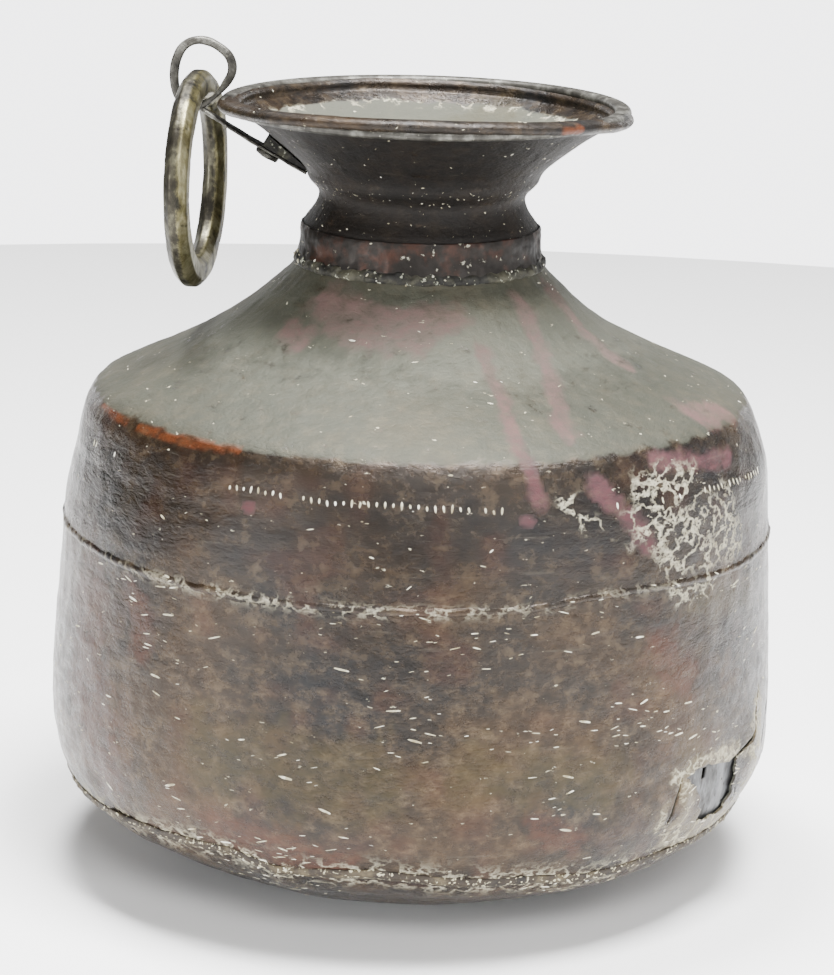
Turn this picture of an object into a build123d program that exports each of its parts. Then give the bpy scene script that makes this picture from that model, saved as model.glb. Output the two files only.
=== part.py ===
from build123d import *
from math import atan2, cos, degrees, hypot, radians, sin
import os

# Hammered copper water pot with a brass carrying ring, millimetres.
# Origin at the middle of the flat rest under the pot, +Z up, ring hanger on the -X side.

# ---- sheet and seams
sheet = 1.2              # copper sheet of the whole vessel
seam_gap = 1.6           # open width of a brazed seam, filled by its braze
seam_crown = 0.7         # how far a braze line stands proud
sleeve_gap = 0.4         # gap between the two sleeve edges hidden under the collar

# ---- heights, each counted from the one before it
base_height = 41.0       # flat rest to base seam
lower_height = 132.5     # base seam to waist seam
upper_height = 63.2      # waist seam to shoulder break
shoulder_height = 67.8   # shoulder break to the foot of the neck sleeve
sleeve_height = 14.5     # straight neck sleeve, half of it on each side of the joint
throat_height = 13.0     # top of the sleeve to the narrowest throat

# ---- radii of the outer faces
rest_radius = 60.0
base_seam_radius = 169.4
belly_radius = 180.4
waist_radius = 175.6
break_radius = 162.0
sleeve_radius = 57.3
throat_radius = 50.4
rim_radius = 101.3

# ---- shape values of the curved outlines
dish_turn_radius = 145.0    # where the dish leaves its shallow bowl for the seam
dish_turn_height = 22.8
belly_rise = 42.0           # belly's widest circle above the base seam
upper_bulge = 1.6           # how far the upper drum's outline stands outside a straight line
break_corner = 7.0          # height of the rounded shoulder corner below the break
shoulder_hollow = 1.2       # how far the shoulder sags below a straight line
cone_foot_radius = 90.0     # where the shoulder turns up to the neck
cone_foot_rise = 35.4       # its height above the break
cone_hollow = 2.2           # how far the neck cone sags below a straight line
funnel_turn = 18.5          # radius of the funnel's turn out of the throat
funnel_slope = 40.0         # degrees above level

# ---- rolled rim
hoop_width = 8.2
hoop_thickness = 4.8
hoop_gap = 0.05

# ---- collar
collar_thickness = 1.3
collar_gap = 0.03
collar_drop = 14.6       # collar height
collar_fillet = 3.4      # solder fillet leg under the collar

# ---- carrying ring
ring_diameter = 106.0
ring_depth = 14.5        # radial
ring_width = 11.5        # axial
ring_chamfer = 3.4
ring_turn = 8.0          # degrees the hanging ring is turned out of square
ring_rim_gap = 2.2       # between the rim and the ring's turning section
pivot_over_rim = 7.3     # ring's turning point above the hoop centre

# ---- hanger strap and eye
strap_thickness = 1.8
strap_foot_width = 13.0
strap_foot_drop = 2.4    # open wedge between the strap's foot and the funnel, filled by solder
strap_tip_width = 5.0
eye_bar = 4.2            # thickness of the curled bar
eye_width = 4.8          # across the pot's tangent
eye_gap = 0.8            # between the eye and the ring's turning section

# ---- rivet
rivet_shank_radius = 2.5
rivet_head_radius = 6.0
rivet_head_height = 2.6
rivet_share = 0.34       # along the strap from its foot, as a share of its length
rove_radius = 6.5
rove_height = 1.6
clench_radius = 4.2
clench_height = 2.0

# ---- torn corner and its backing plate
tear_azimuth = -35.5     # degrees from +X, towards -Y
tear_height = 29.0       # middle of the tear above the base seam
patch_width = 68.0
patch_tall = 50.0
patch_corner = 9.0
patch_thickness = 1.0
patch_gap = 0.05
patch_drop = 3.0         # patch's middle below the tear's middle

# ---- heights above the rest
base_seam_z = base_height
waist_z = base_seam_z + lower_height
break_z = waist_z + upper_height
sleeve_foot_z = break_z + shoulder_height
sleeve_mid_z = sleeve_foot_z + sleeve_height / 2
sleeve_top_z = sleeve_foot_z + sleeve_height
throat_z = sleeve_top_z + throat_height
cone_start_r = throat_radius + funnel_turn * (1 - sin(radians(funnel_slope)))
cone_start_z = throat_z + funnel_turn * cos(radians(funnel_slope))
cone_rise = sin(radians(funnel_slope)) / cos(radians(funnel_slope))
collar_foot_z = sleeve_top_z - collar_drop + 1.0

# ---- rolled rim section, from the hoop's own size
roll_inner = hoop_thickness / 2 + hoop_gap
hoop_half_flat = (hoop_width - hoop_thickness) / 2
hoop_r = rim_radius - sheet - roll_inner - hoop_half_flat
roll_side_r = hoop_r - hoop_half_flat - roll_inner
rim_foot_z = cone_start_z + (roll_side_r - cone_start_r) * cone_rise
hoop_z = rim_foot_z + roll_inner

# ---- ring section and its turning point
ring_outer_r = ring_diameter / 2
ring_mid_r = ring_outer_r - ring_depth / 2
section_corner = max(
    hypot(ring_width / 2, ring_depth / 2 - ring_chamfer),
    hypot(ring_width / 2 - ring_chamfer, ring_depth / 2),
)
pivot_x = -(rim_radius + ring_rim_gap + section_corner)
pivot_z = hoop_z + pivot_over_rim
ring_z = pivot_z - ring_mid_r

BIG = 4 * belly_radius   # tool length that always passes right through


def turned(face):
    """Turn a section drawn as (radius, height) about the pot's axis."""
    return revolve(Plane.XZ * face, Axis.Z, 360)


def inward(before, after, depth):
    """Step to the left of the run at a corner, kept at the full depth from both edges."""
    left = Vector(-before.Y - after.Y, before.X + after.X).normalized()
    reach = left.dot(Vector(-before.Y, before.X))
    return left * (depth / reach)


def inner_outline(outline, depth):
    """The outline moved inwards by the depth, with its corners mitred."""
    edges = []
    for i, edge in enumerate(outline):
        before = outline[i - 1] % 1 if i > 0 else edge % 0
        after = outline[i + 1] % 0 if i < len(outline) - 1 else edge % 1
        start = edge @ 0 + inward(before, edge % 0, depth)
        mid = edge @ 0.5 + inward(edge % 0.5, edge % 0.5, depth)
        end = edge @ 1 + inward(edge % 1, after, depth)
        straight = edge.geom_type == GeomType.LINE
        edges.append(Line(start, end) if straight else ThreePointArc(start, mid, end))
    return edges


def sheet_section(outline, near=0.0, far=sheet):
    """Section of a sheet between two depths inside an outline."""
    outside = inner_outline(outline, near) if near else list(outline)
    inside = inner_outline(outline, far)
    foot = Line(outside[0] @ 0, inside[0] @ 0)
    head = Line(outside[-1] @ 1, inside[-1] @ 1)
    return make_face(Wire(outside + [head] + inside + [foot]))


def solid_inside(outline, top_z, foot_z):
    """Solid bounded by an open outline, closed to the axis at its two ends."""
    start = outline[0] @ 0
    end = outline[-1] @ 1
    closing = Polyline((end.X, end.Y), (0, top_z), (0, foot_z), (start.X, start.Y))
    return turned(make_face(Wire(list(outline) + closing.edges())))


def bowed(start, end, bow):
    """Arc between two points that bows to the left of the straight line by the given amount."""
    run = (end[0] - start[0], end[1] - start[1])
    length = hypot(*run)
    mid = ((start[0] + end[0]) / 2 - bow * run[1] / length, (start[1] + end[1]) / 2 + bow * run[0] / length)
    return ThreePointArc(start, mid, end)


def upright_mid(upright, other):
    """Middle of the arc that stands upright at one point and passes through the other."""
    across = upright[0] - other[0]
    up = other[1] - upright[1]
    radius = (across**2 + up**2) / (2 * across)
    half = atan2(up / radius, 1 - across / radius) / 2
    return (upright[0] - radius + radius * cos(half), upright[1] + radius * sin(half))


# ---- outlines of the outer faces, bottom to top
def dish_outline():
    turn = (dish_turn_radius, dish_turn_height)
    bowl = TangentArc((rest_radius, 0), turn, tangent=(1, 0))
    edge = TangentArc(turn, (base_seam_radius - 0.4 * seam_gap, base_seam_z - seam_gap / 2), tangent=bowl % 1)
    return [Line((0, 0), (rest_radius, 0)), bowl, edge]


def lower_outline():
    foot = (base_seam_radius + 0.4 * seam_gap, base_seam_z + seam_gap / 2)
    belly = (belly_radius, base_seam_z + belly_rise)
    head = (waist_radius, waist_z - seam_gap / 2)
    return [ThreePointArc(foot, upright_mid(belly, foot), belly), ThreePointArc(belly, upright_mid(belly, head), head)]


def upper_outline():
    foot = (waist_radius, waist_z + seam_gap / 2)
    below = (break_radius + 0.37 * break_corner, break_z - break_corner)
    above = (break_radius - 0.93 * break_corner, break_z + 0.7 * break_corner)
    cone_foot = (cone_foot_radius, break_z + cone_foot_rise)
    sleeve_foot = (sleeve_radius, sleeve_foot_z)
    wall = bowed(foot, below, -upper_bulge)
    corner = ThreePointArc(below, (break_radius - 0.05 * break_corner, break_z), above)
    slope = bowed(above, cone_foot, shoulder_hollow)
    cone = bowed(cone_foot, sleeve_foot, cone_hollow)
    sleeve = Line(sleeve_foot, (sleeve_radius, sleeve_mid_z - sleeve_gap / 2))
    return [wall, corner, slope, cone, sleeve]


def cone_point(radius):
    """Height of the funnel's outer face at a radius, on its straight run up to the rim."""
    return rim_foot_z - (roll_side_r - radius) * cone_rise


def funnel_outline():
    throat = (throat_radius, throat_z)
    sleeve_top = (sleeve_radius, sleeve_top_z)
    sleeve = Line((sleeve_radius, sleeve_mid_z + sleeve_gap / 2), sleeve_top)
    cone_start = (cone_start_r, cone_start_z)
    neck = ThreePointArc(sleeve_top, upright_mid(throat, sleeve_top), throat)
    turn = ThreePointArc(throat, upright_mid(throat, cone_start), cone_start)
    cone = Line(cone_start, (roll_side_r, rim_foot_z))
    return [sleeve, neck, turn, cone]


def rim_outline():
    """Hoop-side face of the rolled edge: up, over the hoop, down and back under it."""
    near_r = hoop_r - hoop_half_flat
    far_r = hoop_r + hoop_half_flat
    top_z = hoop_z + roll_inner
    low_z = hoop_z - roll_inner
    turn = roll_inner * sin(radians(45))
    return [
        Line((roll_side_r, rim_foot_z), (roll_side_r, hoop_z)),
        ThreePointArc((roll_side_r, hoop_z), (near_r - turn, hoop_z + turn), (near_r, top_z)),
        Line((near_r, top_z), (far_r, top_z)),
        ThreePointArc((far_r, top_z), (far_r + roll_inner, hoop_z), (far_r, low_z)),
        Line((far_r, low_z), (near_r + 0.6 * hoop_half_flat, low_z)),
    ]


def funnel_solid():
    """Everything inside the funnel's outer face, used to cut pieces that seat on it."""
    return solid_inside(funnel_outline(), rim_foot_z + 20, sleeve_mid_z)


def funnel_hollow():
    """The open space inside the funnel's sheet, up to the rim."""
    return solid_inside(inner_outline(funnel_outline(), sheet), rim_foot_z + 20, sleeve_mid_z)


# ---- copper vessel
def base_dish():
    return turned(sheet_section(dish_outline()))


def lower_wall():
    wall = turned(sheet_section(lower_outline()))
    return wall - tear_tool(make_face(tear_edge()))


def upper_body():
    return turned(sheet_section(upper_outline()))


def mouth_flare():
    return turned(sheet_section(funnel_outline() + rim_outline()))


def rim_hoop():
    half = hoop_half_flat
    section = Pos(hoop_r, hoop_z) * SlotOverall(2 * half + hoop_thickness, hoop_thickness)
    return turned(section)


def braze_ring(below, above):
    """Braze that fills the butt seam between two sheets and stands proud as a low crown."""
    low = below[-1] @ 1
    high = above[0] @ 0
    low_in = inner_outline(below, sheet)[-1] @ 1
    high_in = inner_outline(above, sheet)[0] @ 0
    across = (high - low).normalized()
    outward = Vector(across.Y, -across.X)
    ridge = (low + high) / 2 + outward * seam_crown
    section = Polyline(low, ridge, high, high_in, low_in, close=True)
    return turned(make_face(section))


# ---- neck collar
def neck_collar():
    inner_r = sleeve_radius + collar_gap
    section = Pos(inner_r + collar_thickness / 2, collar_foot_z + collar_drop / 2) * RectangleRounded(
        collar_thickness, collar_drop, 0.4
    )
    return turned(section)


def collar_solder():
    top = collar_foot_z
    outer_r = sleeve_radius + collar_gap + collar_thickness
    wedge = Polyline(
        (sleeve_radius - 0.5, top),
        (outer_r + 0.4, top),
        (outer_r + 1.8, top - collar_fillet),
        (sleeve_radius - 0.5, top - 1.4 * collar_fillet),
        close=True,
    )
    ring = turned(make_face(wedge))
    return ring - solid_inside(upper_outline(), sleeve_mid_z, waist_z)


# ---- torn corner
def tear_edge():
    """Ragged outline of the hole, across and up from the tear's middle."""
    return Polyline(
        (-21, 8), (-12, 12), (-2, 10), (6, 12), (17, 8), (22, -3), (20, -15), (9, -19), (-3, -14), (-14, -8),
        close=True,
    )


def tear_tool(face):
    """The face, drawn across and up, pushed outwards through the wall at the tear's place."""
    facing = Rot(0, 0, tear_azimuth) * Pos(0, 0, base_seam_z + tear_height)
    across = Plane(origin=(0, 0, 0), x_dir=(0, 1, 0), z_dir=(1, 0, 0))
    return facing * extrude(across * face, BIG, dir=(1, 0, 0))


def tear_patch():
    tool = tear_tool(Pos(0, -patch_drop) * RectangleRounded(patch_width, patch_tall, patch_corner))
    near = sheet + patch_gap
    return turned(sheet_section(lower_outline(), near, near + patch_thickness)) & tool


# ---- carrying ring
def carrying_ring():
    a, b, c = ring_width / 2, ring_depth / 2, ring_chamfer
    corners = [(-a, -b + c), (-a + c, -b), (a - c, -b), (a, -b + c), (a, b - c), (a - c, b), (-a + c, b), (-a, b - c)]
    section = make_face(Polyline(*corners, close=True))
    ring = revolve(Plane.XZ * (Pos(0, ring_mid_r) * section), Axis.X, 360)
    return Pos(pivot_x, 0, ring_z) * Rot(0, 0, -ring_turn) * ring


# ---- hanger: strap and curled eye in one forging
turn_r = section_corner + eye_gap                 # free circle the ring's section needs
strap_tip = (pivot_x + 1.0, pivot_z - turn_r - eye_bar / 2)
strap_foot_r = throat_radius + 6.6
strap_foot = (-strap_foot_r, cone_point(strap_foot_r) - strap_thickness / 2 - strap_foot_drop)
strap_run = (strap_tip[0] - strap_foot[0], strap_tip[1] - strap_foot[1])
strap_length = hypot(*strap_run)
strap_lean = degrees(atan2(strap_run[1], -strap_run[0]))
rivet_along = rivet_share * strap_length


def strap_plane(along):
    """Plane on the strap's middle: x along it away from the pot, y across it, z up through it."""
    lean = radians(strap_lean)
    out = Vector(-cos(lean), 0, sin(lean))
    origin = Vector(strap_foot[0], 0, strap_foot[1]) + out * along
    return Plane(origin=origin, x_dir=out, z_dir=(sin(lean), 0, cos(lean)))


def eye_bar_face():
    """Curled bar, drawn as (x, z) about the turning point: the tip closes thinner on the strap."""
    inner = Spline(
        (-0.5, -turn_r), (-6.9, -5.5), (-9.0, 2.0), (-8.4, 9.8), (-5.5, 16.7), (0, 19.8),
        (7.0, 18.2), (13.0, 13.7), (14.7, 7.7), (12.0, 1.8), (7.8, -4.6),
        periodic=True,
    )
    outer = Spline(
        (-1.5, -turn_r - eye_bar), (-9.8, -8.5), (-13.4, 1.4), (-13.0, 10.4), (-9.0, 19.7), (0, 23.8),
        (9.0, 21.7), (17.0, 15.7), (19.2, 7.6), (16.0, 0.5), (8.9, -6.5), (4.0, -10.8),
        periodic=True,
    )
    return Pos(pivot_x, pivot_z) * (make_face(Wire(outer)) - make_face(Wire(inner)))


def hanger_strap():
    foot = strap_plane(0)
    blade = Polyline(
        (0, -strap_foot_width / 2),
        (0, strap_foot_width / 2),
        (0.55 * strap_length, strap_foot_width / 2),
        (strap_length, strap_tip_width / 2),
        (strap_length, -strap_tip_width / 2),
        (0.55 * strap_length, -strap_foot_width / 2),
        close=True,
    )
    strap = extrude(foot * make_face(blade), strap_thickness / 2, both=True)
    eye = extrude(Plane.XZ * eye_bar_face(), eye_width / 2, both=True)
    rivet_hole = rivet_plane() * Cylinder(rivet_shank_radius, 3 * strap_thickness)
    return strap + eye - rivet_hole


# ---- rivet, rove and solder at the strap's foot
def rivet_plane():
    return strap_plane(rivet_along)


def flare_hole_tool():
    return rivet_plane() * Pos(0, 0, 15) * Cylinder(rivet_shank_radius, 30)


def rivet_reach():
    """Distance along the rivet from the strap's middle to the funnel's outer face."""
    lean = radians(strap_lean)
    x0 = rivet_plane().origin.X
    z0 = rivet_plane().origin.Z
    return (cone_point(-x0) - z0) / (cos(lean) + cone_rise * sin(lean))


def rove():
    blank = rivet_plane() * Pos(0, 0, rivet_reach() + 4) * Cylinder(rove_radius, 8)
    top = rivet_reach() + sheet + rove_height + 1.2
    cap = rivet_plane() * Pos(0, 0, top + 10) * Box(40, 40, 20)
    return (blank & funnel_hollow()) - cap - flare_hole_tool()


def strap_rivet():
    top = rivet_reach() + sheet + rove_height + 1.2
    bottom = -strap_thickness / 2
    shank = Pos(0, 0, (top + bottom) / 2) * Cylinder(rivet_shank_radius, top - bottom)
    head = Pos(0, 0, bottom - rivet_head_height / 2) * Cylinder(rivet_head_radius, rivet_head_height)
    clench = Pos(0, 0, top + clench_height / 2) * Cone(clench_radius, 0.6 * clench_radius, clench_height)
    return rivet_plane() * (head + shank + clench)


def strap_solder():
    """Lump of solder that fills the wedge between the strap and the funnel."""
    reach = rivet_along + 1.6 * rivet_shank_radius
    block = Pos(reach / 2 + 1, 0, strap_thickness / 2 + 8) * Box(reach, strap_foot_width - 1.5, 16)
    return strap_plane(0) * block - funnel_solid() - flare_hole_tool()


def build():
    funnel = mouth_flare() - flare_hole_tool()
    return {
        "base_dish": base_dish(),
        "lower_wall": lower_wall(),
        "upper_body": upper_body(),
        "mouth_flare": funnel,
        "rim_hoop": rim_hoop(),
        "neck_collar": neck_collar(),
        "collar_solder": collar_solder(),
        "base_braze": braze_ring(dish_outline(), lower_outline()),
        "waist_braze": braze_ring(lower_outline(), upper_outline()),
        "tear_patch": tear_patch(),
        "hanger_strap": hanger_strap(),
        "strap_solder": strap_solder(),
        "strap_rivet": strap_rivet(),
        "rivet_rove": rove(),
        "carrying_ring": carrying_ring(),
    }


os.makedirs("parts", exist_ok=True)
for name, shape in build().items():
    export_step(shape, f"parts/{name}.step")
    size = shape.bounding_box().size
    print(name, "solids", len(shape.solids()), "volume", round(shape.volume), "size", [round(v, 1) for v in size])
print("ring turning point", round(pivot_x, 2), round(pivot_z, 2), "strap lean", round(strap_lean, 1))
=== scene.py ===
# %% [markdown]
# # A hammered copper water pot with its brass carrying ring
# A coppersmith raises this pot from four sheets: a shallow base dish, a lower wall, an
# upper body that folds in over the shoulder, and a trumpet mouth rolled over an iron hoop.
# The sheets are brazed together, so two crusty seams run round the belly. The lesson loads
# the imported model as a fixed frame, then makes each sheet again with its hammer marks,
# dents, seams, lime and torn corner.

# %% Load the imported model
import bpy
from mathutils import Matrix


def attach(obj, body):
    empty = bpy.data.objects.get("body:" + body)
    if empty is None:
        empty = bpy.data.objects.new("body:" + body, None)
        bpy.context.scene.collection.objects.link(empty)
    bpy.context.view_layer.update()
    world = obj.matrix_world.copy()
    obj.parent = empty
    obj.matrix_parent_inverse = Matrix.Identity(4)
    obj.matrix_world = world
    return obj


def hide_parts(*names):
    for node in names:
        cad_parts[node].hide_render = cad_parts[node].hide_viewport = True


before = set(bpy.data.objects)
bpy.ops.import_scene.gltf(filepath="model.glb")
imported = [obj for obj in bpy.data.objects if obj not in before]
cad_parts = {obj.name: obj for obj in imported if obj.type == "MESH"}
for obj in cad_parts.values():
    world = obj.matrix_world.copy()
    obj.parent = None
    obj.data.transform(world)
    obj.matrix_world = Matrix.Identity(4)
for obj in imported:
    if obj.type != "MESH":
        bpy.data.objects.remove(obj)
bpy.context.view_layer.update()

# %% [markdown]
# ## Measures
# The pot is drawn in millimetres about its own axis, as its maker would measure it: a
# radius and a height. One factor turns them to metres. Places on the wall are given as an
# angle round the pot, 0 at the front and positive towards the right, and a height.

# %% Numbers and small helpers
from math import cos, pi, radians, sin

import bmesh
import bpy
import numpy as np
from mathutils import Matrix, Vector
from mathutils.bvhtree import BVHTree

MM = 0.001
WAIST, BASE_SEAM = 173.5, 41.0


def noise(points, size, seed):
    """Smooth random lumps of about one size (mm), from -1 to 1, at (n, 3) points."""
    table = np.random.default_rng(seed).uniform(-1, 1, (32, 32, 32))
    p = np.asarray(points) / size
    cell = np.floor(p).astype(int)
    t = p - cell
    t = t * t * (3 - 2 * t)
    total = 0
    for i in (0, 1):
        for j in (0, 1):
            for k in (0, 1):
                weight = (t[:, 0] if i else 1 - t[:, 0]) * (t[:, 1] if j else 1 - t[:, 1])
                weight = weight * (t[:, 2] if k else 1 - t[:, 2])
                total = total + weight * table[
                    (cell[:, 0] + i) % 32, (cell[:, 1] + j) % 32, (cell[:, 2] + k) % 32
                ]
    return total


def step(low, high, value):
    """0 below low, 1 above high, a smooth ramp between."""
    t = np.clip((value - low) / (high - low), 0, 1)
    return t * t * (3 - 2 * t)


def bell(value, middle, width):
    return np.exp(-(((value - middle) / width) ** 2))


print("noise sample", noise([[1, 2, 3]], 10, 1).round(3))

# %% [markdown]
# ## The wall's outline
# A smooth curve through a few measured points gives the outer face of each sheet. The
# inner face is the same curve moved in by the sheet's thickness.

# %% Outlines as (radius, height)
SHEET = 1.2


def flowing(points, spacing):
    """A smooth curve through the points, sampled at an even spacing (mm)."""
    p = np.array(points, float)
    ends = np.vstack([2 * p[0] - p[1], p, 2 * p[-1] - p[-2]])
    fine = []
    for i in range(1, len(ends) - 2):
        a, b, c, d = ends[i - 1], ends[i], ends[i + 1], ends[i + 2]
        n = max(4, int(np.linalg.norm(c - b) / 0.4))
        t = np.linspace(0, 1, n, endpoint=False)[:, None]
        square, cube = 2 * a - 5 * b + 4 * c - d, 3 * b - a - 3 * c + d
        fine.append(0.5 * (2 * b + (c - a) * t + square * t**2 + cube * t**3))
    fine = np.vstack(fine + [p[-1:]])
    run = np.r_[0, np.cumsum(np.linalg.norm(np.diff(fine, axis=0), axis=1))]
    even = np.linspace(0, run[-1], max(3, int(run[-1] / spacing) + 1))
    return np.c_[np.interp(even, run, fine[:, 0]), np.interp(even, run, fine[:, 1])]


def outward(line):
    """Unit normals of an outline that runs upwards, pointing away from the axis."""
    run = np.gradient(line, axis=0)
    run /= np.linalg.norm(run, axis=1)[:, None]
    return np.c_[run[:, 1], -run[:, 0]]


DISH = [
    (0, 0), (40, 0.1), (60, 0.35), (80, 2.1), (100, 5.5), (125, 12.9), (145, 22.8), (157, 29.4),
    (164, 35.2), (168.9, 40.9)
]
LOWER = [
    (169.3, 41.1), (173.6, 48.6), (177.6, 58.6), (179.6, 68.5), (180.2, 80), (180.2, 95), (179.6, 110),
    (178.4, 130), (177.1, 150), (175.7, 173.4)
]
UPPER = [
    (175.7, 173.6), (174.8, 185), (172.9, 200), (170.4, 213), (167.9, 222), (165.4, 229.5), (163.2, 234),
    (160.2, 238.4), (155, 242.0), (145, 246.6), (131, 252.8), (117.6, 259.0), (103.8, 266.3), (91.8, 273.6),
    (81.6, 281.3), (74.2, 287.8), (68.6, 293.0), (64.2, 297.2), (60.6, 301.6), (58.6, 306), (57.4, 311.8)
]
print("outline points", len(DISH), len(LOWER), len(UPPER))

# %% [markdown]
# ## How a hand-made wall departs from round
# Nothing here is truly round. Planishing leaves shallow facets that meet at soft ridges,
# long blows leave gentle waves, and years of use push whole stretches to one side. These
# functions move the points of a turned surface before the mesh is made.

# %% Waviness, hammer facets and the wandering seams
SIDE_SHIFT = [
    (-5, 0), (9, -1.9), (24, -1.8), (37, -1.8), (50, -0.7), (63, 1.1), (80, 0.4), (126, 0.4), (151, 0.8),
    (183, 1), (195, 1.7), (210, 2.6), (231, 1.2), (247, 1.4), (258, 0.2), (272, -1.9), (290, -1.4),
    (326, -1.0), (345, -0.2), (385, 0)
]
WAIST_PATH = [
    (-180, 172), (-100, 175), (-58, 173.5), (-33, 173), (-5, 172.6), (18, 173.6), (27, 176.4), (35, 177),
    (60, 174), (120, 175.5), (180, 172)
]
BASE_PATH = [
    (-180, 42), (-100, 43), (-60, 43.5), (-42.6, 45.3), (-28, 46.6), (-20, 41.4), (-4, 44.4), (4, 42),
    (13, 39.9), (22, 39.6), (30, 37), (45, 38), (56, 38), (100, 40), (180, 42)
]


def along(path, value):
    xs, ys = zip(*path)
    return np.interp(value, xs, ys)


BLOW, BLOWS_ROUND = 14.4, 76


def facets(turn, up):
    """Shallow hammer blows on a jittered grid: distance squared to the nearest blow, 0 to 1."""
    blows = np.random.default_rng(5).uniform(0.15, 0.85, (BLOWS_ROUND, 256, 2))
    u, v = turn * BLOWS_ROUND, up / BLOW + 64
    iu, iv = np.floor(u).astype(int), np.floor(v).astype(int)
    nearest = np.full(len(u), 9.0)
    for du in (-1, 0, 1):
        for dv in (-1, 0, 1):
            spot = blows[(iu + du) % BLOWS_ROUND, (iv + dv) % 256]
            d2 = (iu + du + spot[:, 0] - u) ** 2 + (iv + dv + spot[:, 1] - v) ** 2
            nearest = np.minimum(nearest, d2)
    return np.clip(nearest, 0, 1)


def hand_made(r, z, angle, n_r, n_z, outside, relief=1.0):
    """Moved (x, y, z) of turned points, mm. The face turned outwards gets the full relief."""
    x, y = r * np.sin(angle), -r * np.cos(angle)
    place = np.c_[x, y, z]
    az = np.degrees(angle)
    blows = facets(angle / (2 * pi) + 0.5, z)
    wave = 0.55 * noise(place, 62, 11) + 0.28 * noise(place, 24, 12)
    small = 0.42 * (blows - 0.35) + 0.22 * noise(place, 9, 13) + 0.11 * noise(place * [1, 1, 1.7], 4.2, 14)
    push = relief * (wave + outside * small)
    r2, z2 = r + push * n_r, z + push * n_z
    seam = bell(z, WAIST, 16) * (along(WAIST_PATH, az) - WAIST)
    seam = seam + bell(z, BASE_SEAM, 22) * (along(BASE_PATH, az) - BASE_SEAM)
    z2 = z2 + seam + relief * 0.4 * noise(place, 90, 15) * step(3, 20, z)
    x2 = r2 * np.sin(angle) + along(SIDE_SHIFT, z)
    return np.c_[x2, -r2 * np.cos(angle), np.maximum(z2, 0)]


print("facet sample", facets(np.array([0.5]), np.array([8.0])).round(2))

# %% [markdown]
# ## Stains and crusts as painted maps
# Broad stains belong to places, not to a pattern: drips run down from the neck, lime sits
# where water dried, bare copper shows on worn edges. Each is a soft brush stroke along a
# path of (angle, height) points, kept as a number per point of the mesh. The material
# reads the numbers and breaks their edges with its own fine noise.
# One map is not a stain: a pale band round the cone under the collar is painted light, lightening the cone
# where the rim shades it from the lamps above.

# %% Brush strokes on the wall
def stroke(az, z, radius, path, width, soft=0.5):
    """1 within width (mm) of a path of (angle, height) points, falling to 0 over the soft share."""
    best = np.full(len(az), 1e9)
    points = [np.array(p, float) for p in path]
    for a, b in zip(points[:-1] or points, points[1:] or points):
        scale = np.radians(1) * radius
        ux, uz = (b[0] - a[0]) * scale, np.full(len(az), b[1] - a[1])
        px, pz = (az - a[0]) * scale, z - a[1]
        length = ux**2 + uz**2
        t = np.clip((px * ux + pz * uz) / np.maximum(length, 1e-6), 0, 1)
        best = np.minimum(best, np.hypot(px - t * ux, pz - t * uz))
    return 1 - step(width * (1 - soft), width * (1 + soft), best)


PINK = [
    ([(19.3, 275), (19, 258), (17.8, 243), (19.8, 222)], 3.4),
    ([(45, 292), (37.4, 269.5), (27.7, 247.7)], 4), ([(69.6, 293), (65.8, 276), (63, 264)], 5),
    ([(-40, 291), (-8, 286), (12, 288)], 6.5), ([(-30, 283), (-14, 279), (2, 281)], 5),
    ([(-45, 279), (-38, 276)], 5), ([(30, 226), (34, 214), (38, 196)], 4.5),
    ([(42, 234), (52, 229), (62, 226)], 4), ([(-27, 214), (-26, 214)], 2.4), ([(17, 214), (18, 213)], 2.4),
    ([(60, 245), (70, 242)], 4)
]
RED = [
    ([(-62, 150), (-60, 110), (-55, 80)], 20), ([(-48, 160), (-45, 140)], 9), ([(40, 150), (46, 130)], 10),
    ([(-30, 60), (-10, 50)], 10), ([(20, 70), (26, 60)], 8)
]
OLIVE = [
    ([(50, 165), (65, 159)], 9), ([(-30, 100), (-5, 92)], 20), ([(10, 98), (30, 88)], 14),
    ([(47, 96), (50, 88)], 7), ([(170, 350), (152, 362)], 11)
]
BARE = [
    ([(-54, 236), (-42, 236.5), (-30, 237)], 1.6), ([(-70, 237), (-58, 236)], 1.2),
    ([(40.5, 378.4), (45.5, 378.2)], 2.0)
]
LIME = [
    ([(38, 222), (44, 222), (50, 221)], 7), ([(40, 208), (47, 203), (56, 200)], 13),
    ([(44, 190), (52, 187), (60, 190)], 9), ([(44, 172), (52, 170)], 5), ([(24, 222), (28, 210)], 4)
]
TORN = [
    ([(45, 82), (51, 85), (61, 83)], 4), ([(46.8, 77), (48.2, 68), (48, 58)], 4.5),
    ([(46, 52), (56, 45), (66, 46), (72, 52)], 8), ([(70, 96), (68, 78), (69, 62)], 9),
    ([(42, 58), (43, 66)], 3)
]


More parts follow.
